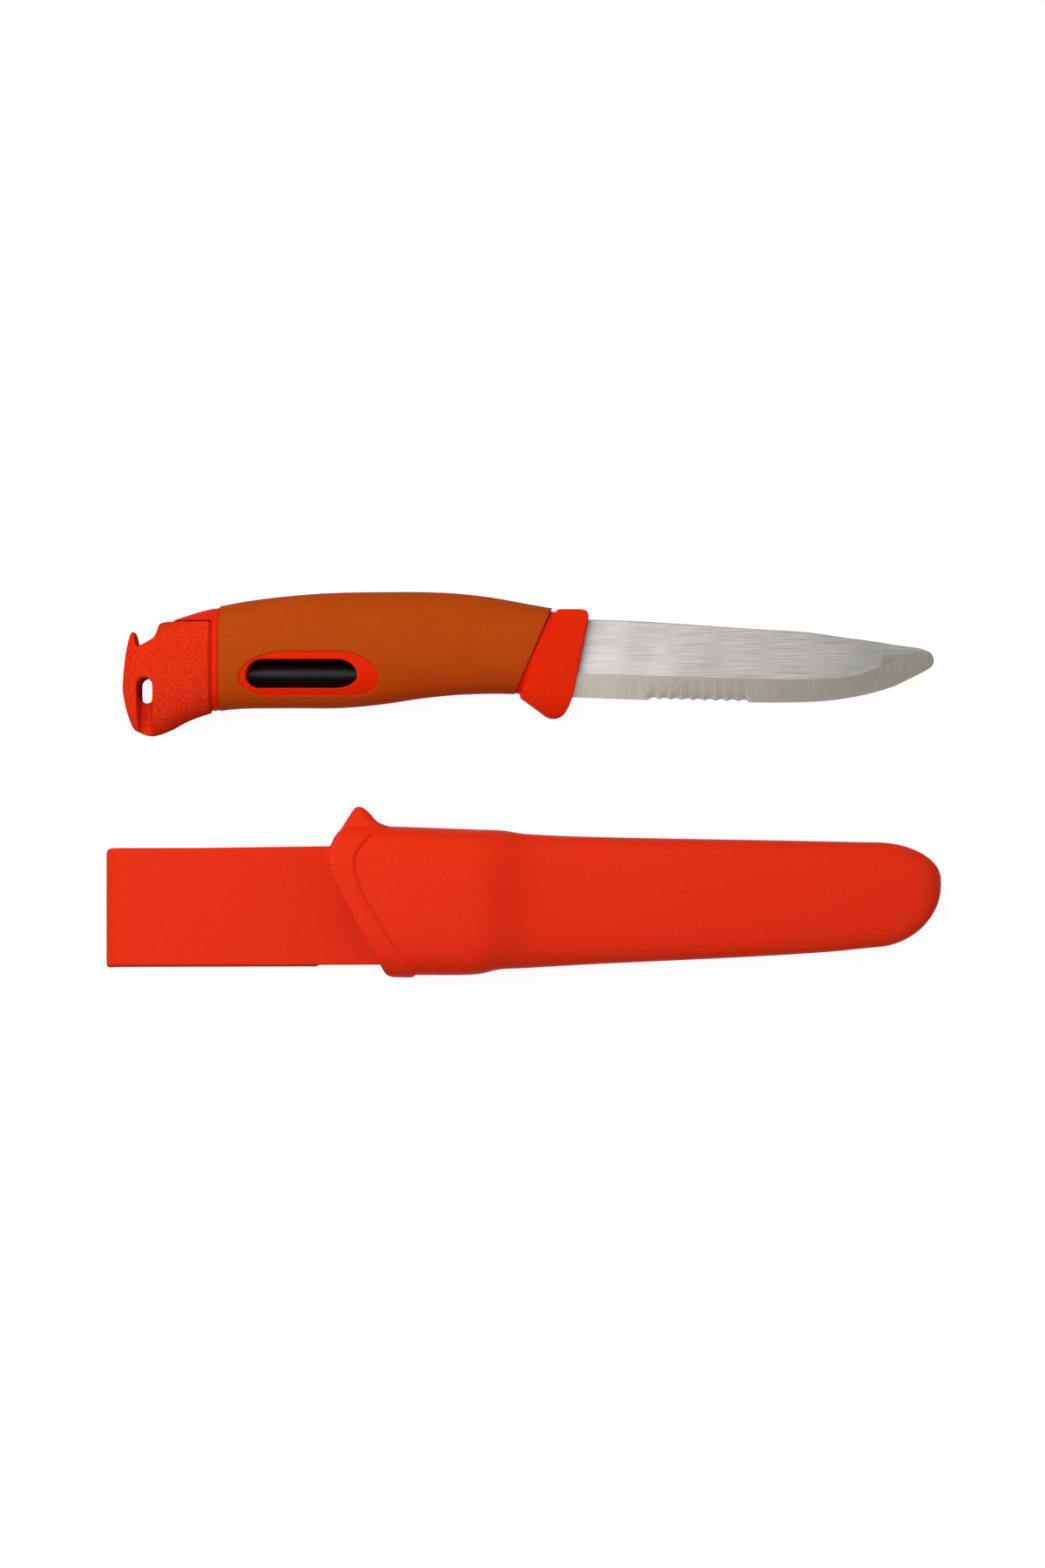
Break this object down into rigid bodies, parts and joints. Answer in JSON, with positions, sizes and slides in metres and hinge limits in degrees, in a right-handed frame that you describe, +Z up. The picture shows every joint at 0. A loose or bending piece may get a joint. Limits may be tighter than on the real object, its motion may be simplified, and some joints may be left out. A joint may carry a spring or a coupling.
{
  "type": "rigging knife",
  "caption": "Blunt-tipped knife with a scalloped rope edge and a fire starter in its butt, beside its moulded belt sheath.",
  "frame": {"origin": "on the bench, under the middle of the box round the knife and the sheath", "axes": "+X towards the blade tip and the closed end of the sheath, +Y from the sheath to the knife and its back, +Z up from the bench"},
  "size_m": [0.2402, 0.11, 0.037],
  "materials": {
    "stainless_steel": "satin",
    "core_plastic": "satin",
    "grip_rubber": "matte",
    "firesteel_black": "satin",
    "cap_plastic": "matte",
    "sheath_plastic": "satin"
  },
  "bodies": {
    "sheath": {"sheath_shell": "sheath_plastic"},
    "clip": {"clip_arm": "sheath_plastic"},
    "knife": {"blade": "stainless_steel", "handle_core": "core_plastic", "grip_sleeve": "grip_rubber"},
    "firesteel": {"firesteel_rod": "firesteel_black", "firesteel_cap": "cap_plastic"}
  },
  "joints": [
    {"name": "knife_draw", "type": "slide", "parent": "sheath", "child": "knife", "axis": [1, 0, 0], "range_m": [-0.173, 0]},
    {"name": "firesteel_pull", "type": "slide", "parent": "knife", "child": "firesteel", "axis": [-1, 0, 0], "range_m": [0, 0.054]},
    {"name": "clip_flex", "type": "hinge", "parent": "sheath", "child": "clip", "pos_m": [-0.1152, -0.03557, 0.00482], "axis": [0, 1, 0], "range_deg": [0, 8], "stiffness_Nm_per_rad": 5}
  ]
}
